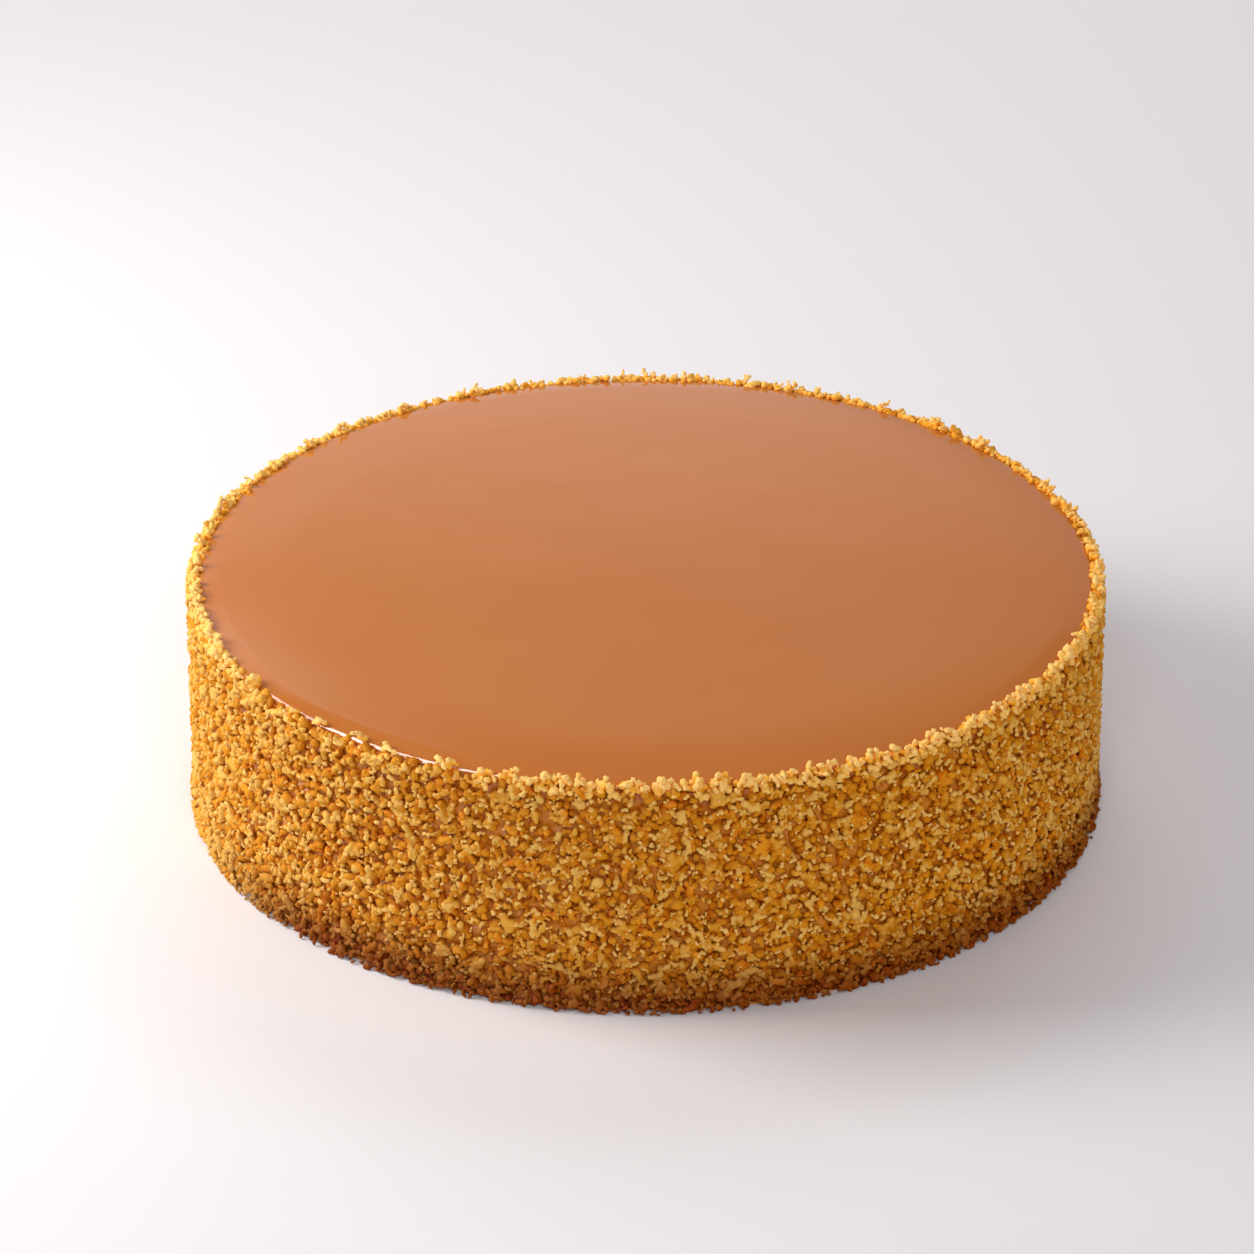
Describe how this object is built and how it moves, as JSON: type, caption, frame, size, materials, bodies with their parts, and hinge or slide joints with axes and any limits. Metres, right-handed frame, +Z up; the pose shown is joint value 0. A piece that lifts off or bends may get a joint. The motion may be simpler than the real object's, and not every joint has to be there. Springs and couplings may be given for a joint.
{
  "type": "tres leches cake",
  "caption": "Whole round tres leches cake: a milk-soaked sponge with a smooth, glossy caramel top and a coat of toasted golden crumbs that stands up around its rim.",
  "frame": {"origin": "the middle of the flat base that the cake stands on", "axes": "+Z points up through the caramel top; +X points to the right and +Y away from the viewer as the picture shows the cake"},
  "size_m": [0.2257, 0.2264, 0.0618],
  "materials": {
    "toasted_crumb": "dry, rough crumb over soaked sponge",
    "set_caramel": "smooth and glossy"
  },
  "bodies": {
    "root": {"crumbed_cake": "toasted_crumb", "caramel_glaze": "set_caramel"}
  },
  "joints": []
}
